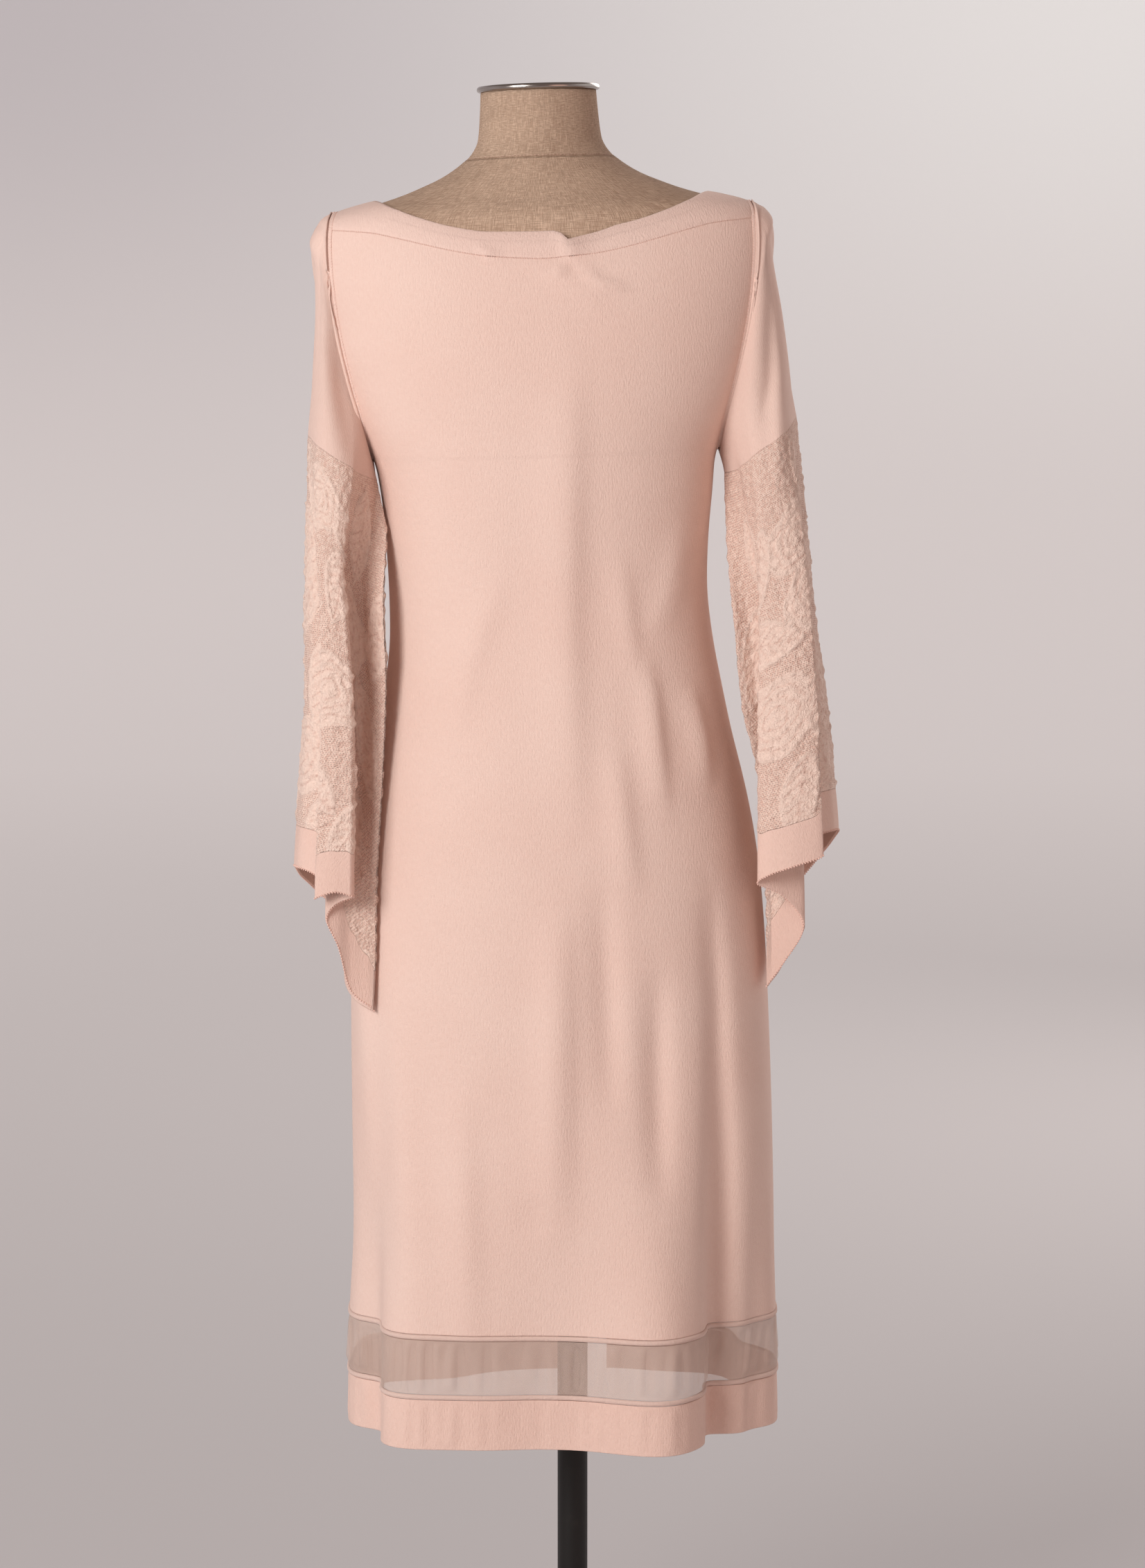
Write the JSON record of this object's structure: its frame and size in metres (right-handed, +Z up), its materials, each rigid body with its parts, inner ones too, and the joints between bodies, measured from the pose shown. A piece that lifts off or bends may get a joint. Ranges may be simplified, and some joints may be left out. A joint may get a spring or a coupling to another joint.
{
  "type": "midi dress on a dress form",
  "caption": "Midi dress with a boat neck, wide lace sleeves with pointed hems and a sheer band near the hem, on a limbless form with a pole stand.",
  "frame": {"origin": "middle of the stand's underside, on the pole's axis, at the floor", "axes": "+Z up along the pole; the dress's front faces -Y and its wearer's left is +X; the pictured back faces +Y"},
  "size_m": [0.4799, 0.36, 1.4931],
  "materials": {
    "fine_knit": "matt fine-gauge knit",
    "lace_knit": "openwork knit with leaf and flower motifs",
    "sheer_net": "sheer net",
    "linen": "plain weave over a firm form",
    "polished_steel": "polished",
    "black_metal": "satin"
  },
  "bodies": {
    "root": {"back_panel": "fine_knit", "front_panel": "fine_knit", "neck_band_back": "fine_knit", "neck_band_front": "fine_knit", "sleeve_left_upper": "fine_knit", "sleeve_left_lace": "lace_knit", "sleeve_left_cuff": "fine_knit", "sleeve_right_upper": "fine_knit", "sleeve_right_lace": "lace_knit", "sleeve_right_cuff": "fine_knit", "net_inset_back": "sheer_net", "hem_band_back": "fine_knit", "net_inset_front_right": "sheer_net", "hem_band_front_right": "fine_knit", "net_inset_front_left": "sheer_net", "hem_band_front_left": "fine_knit", "piping_upper": "fine_knit", "piping_lower": "fine_knit", "form_torso": "linen", "form_neck_cap": "polished_steel", "stand_pole": "black_metal", "stand_base": "black_metal"}
  },
  "joints": []
}
